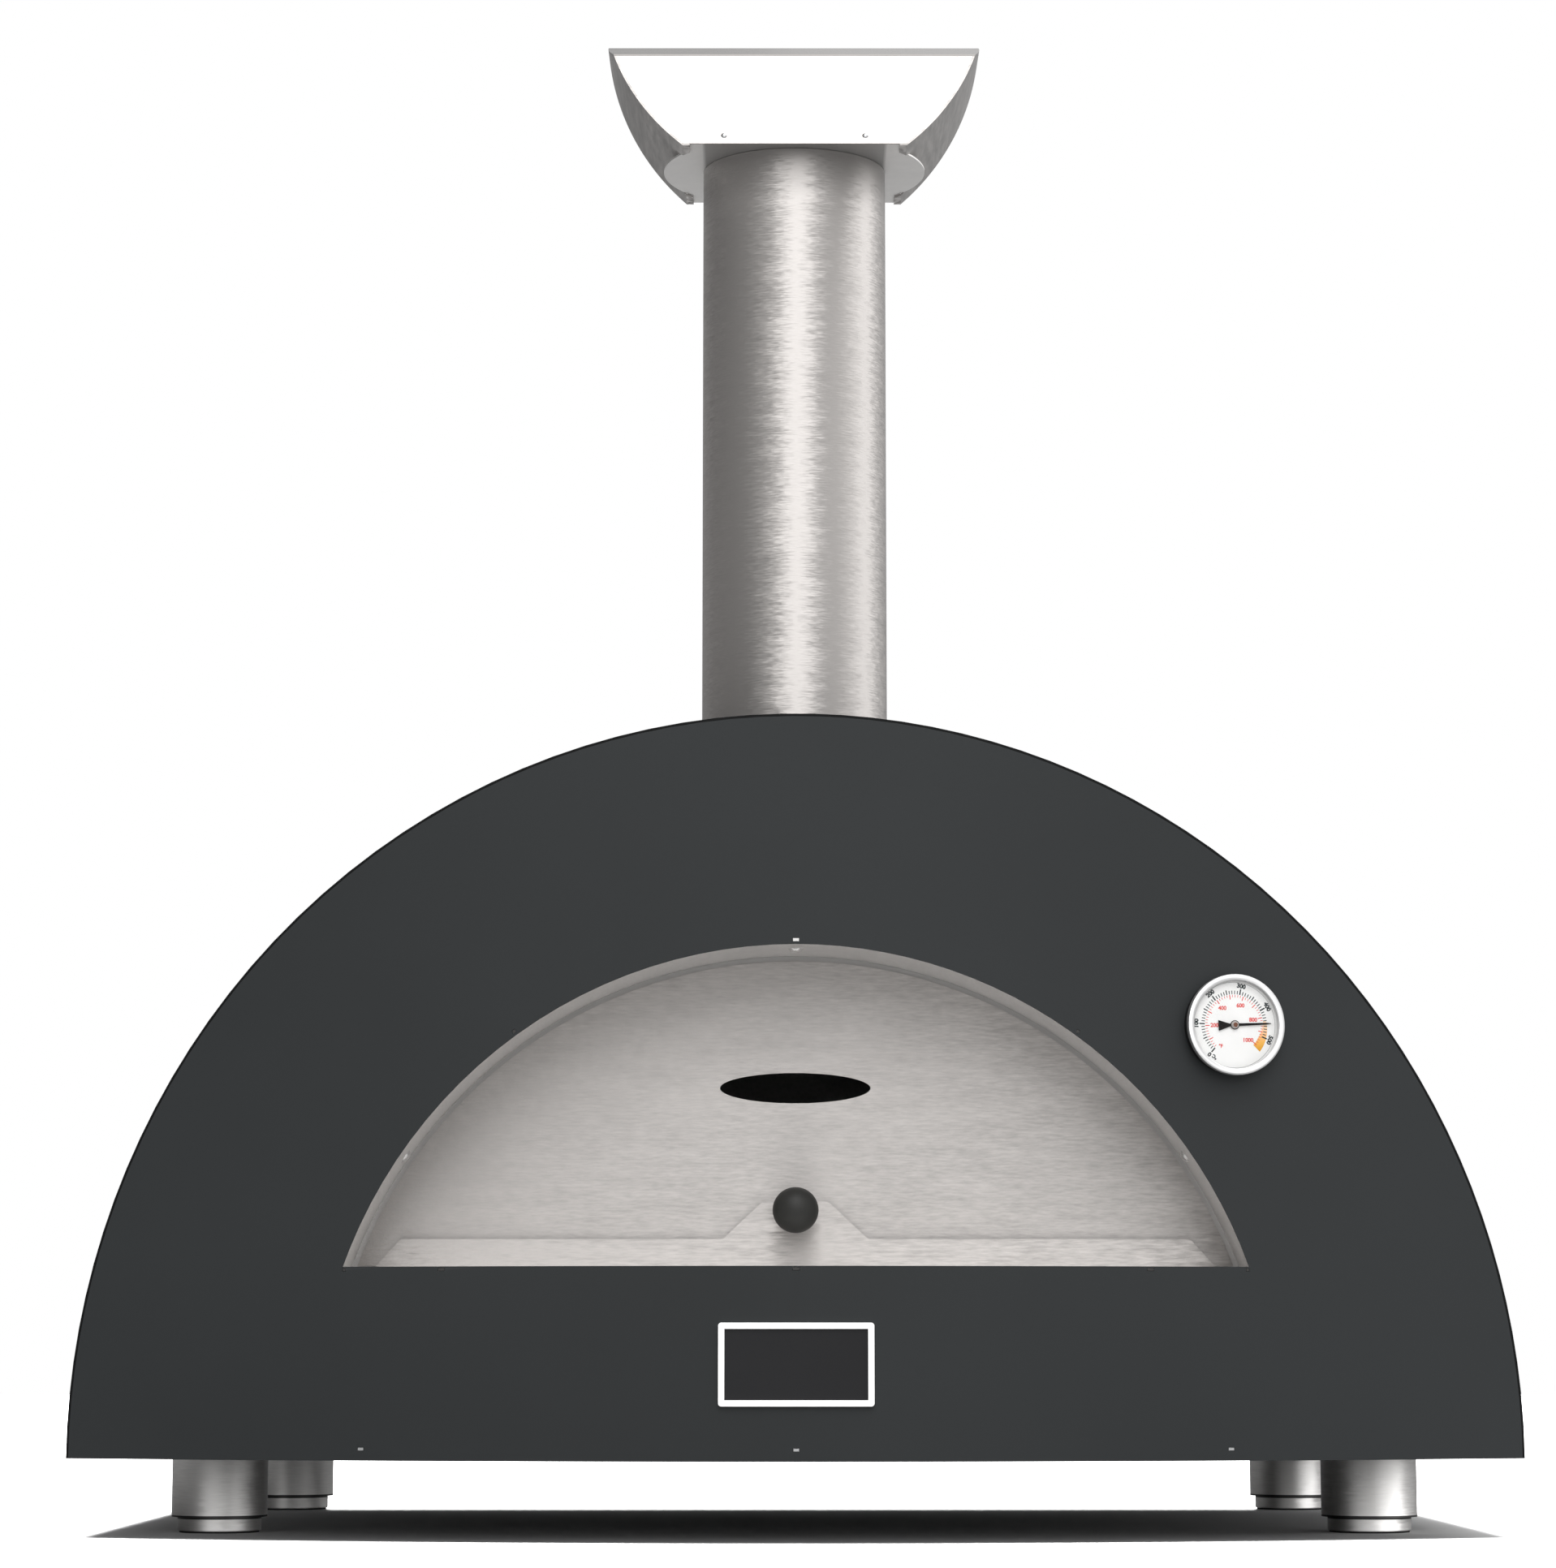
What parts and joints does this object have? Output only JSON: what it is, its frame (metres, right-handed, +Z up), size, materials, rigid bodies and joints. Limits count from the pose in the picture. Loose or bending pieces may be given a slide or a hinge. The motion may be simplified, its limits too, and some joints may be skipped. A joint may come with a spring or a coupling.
{
  "type": "wood fired pizza oven",
  "caption": "Arched wood fired pizza oven with a bowed facade, removable half-moon door, thermometer, round flue with a turning scoop cap, and round feet.",
  "frame": {"origin": "on the ground, at the middle of the overall width and depth", "axes": "+Z up, -Y towards the cook at the mouth, +X to the right seen from the front"},
  "size_m": [1.154, 0.9308, 1.278],
  "materials": {
    "slate": "slate grey powder coat, fine matt texture",
    "brushed_steel": "horizontally brushed stainless",
    "feet_steel": "turned stainless",
    "plain_steel": "mill finish stainless",
    "zinc_steel": "galvanised sheet",
    "bolt_steel": "zinc plated",
    "firebrick": "pressed refractory, matt",
    "board": "rigid ceramic fibre board",
    "blanket": "ceramic fibre blanket",
    "knob": "black phenolic, satin",
    "pad": "black rubber",
    "dial": "white printed enamel",
    "glass": "clear flat glass",
    "needle": "black enamel",
    "hub": "dull bronze",
    "badge_frame": "bright satin",
    "badge_plate": "dark satin enamel",
    "black_case": "black enamel"
  },
  "bodies": {
    "oven": {"badge_frame": "badge_frame", "badge_plate": "badge_plate", "base_cross_front": "zinc_steel", "base_cross_rear": "zinc_steel", "base_pan": "zinc_steel", "base_rail_left": "zinc_steel", "base_rail_right": "zinc_steel", "facade_panel": "slate", "flange_screws": "bolt_steel", "floor_board": "board", "floor_plate": "zinc_steel", "floor_tile_1": "firebrick", "floor_tile_2": "firebrick", "floor_tile_3": "firebrick", "floor_tile_4": "firebrick", "flue_flange": "slate", "flue_pipe": "brushed_steel", "flue_spigot": "plain_steel", "foot_base_front_left": "feet_steel", "foot_base_front_right": "feet_steel", "foot_base_rear_left": "feet_steel", "foot_base_rear_right": "feet_steel", "foot_bolts": "bolt_steel", "foot_pads": "pad", "foot_tube_front_left": "feet_steel", "foot_tube_front_right": "feet_steel", "foot_tube_rear_left": "feet_steel", "foot_tube_rear_right": "feet_steel", "front_blanket": "blanket", "front_inner_wall": "plain_steel", "gauge_bezel": "brushed_steel", "gauge_case": "black_case", "gauge_dial": "dial", "gauge_lens": "glass", "gauge_nut": "bolt_steel", "gauge_stem": "plain_steel", "inner_vault": "plain_steel", "liner_screws": "brushed_steel", "mouth_liner": "brushed_steel", "rear_blanket": "blanket", "rear_inner_wall": "plain_steel", "rear_panel": "slate", "rear_screws": "bolt_steel", "roof_shell": "slate", "vault_blanket": "blanket"},
    "door": {"door_panel": "brushed_steel", "door_foot": "brushed_steel", "door_knob": "knob", "door_stud": "bolt_steel", "door_nut": "bolt_steel"},
    "cap": {"cap_base": "brushed_steel", "cap_spigot": "plain_steel", "cap_front": "brushed_steel", "cap_lid": "brushed_steel", "cap_wing_left": "brushed_steel", "cap_wing_right": "brushed_steel", "cap_rivets": "bolt_steel"},
    "needle": {"gauge_needle": "needle", "gauge_hub": "hub"}
  },
  "joints": [
    {"name": "door_slide", "type": "slide", "parent": "oven", "child": "door", "axis": [0, -1, 0], "range_m": [0, 0.35]},
    {"name": "cap_turn", "type": "hinge", "parent": "oven", "child": "cap", "pos_m": [0, -0.25437, 1.139], "axis": [0, 0, 1], "continuous": true},
    {"name": "needle_turn", "type": "hinge", "parent": "oven", "child": "needle", "pos_m": [0.3418, -0.42503, 0.4014], "axis": [0.2159, -0.9764, 0], "range_deg": [-24.3, 225.8]}
  ]
}
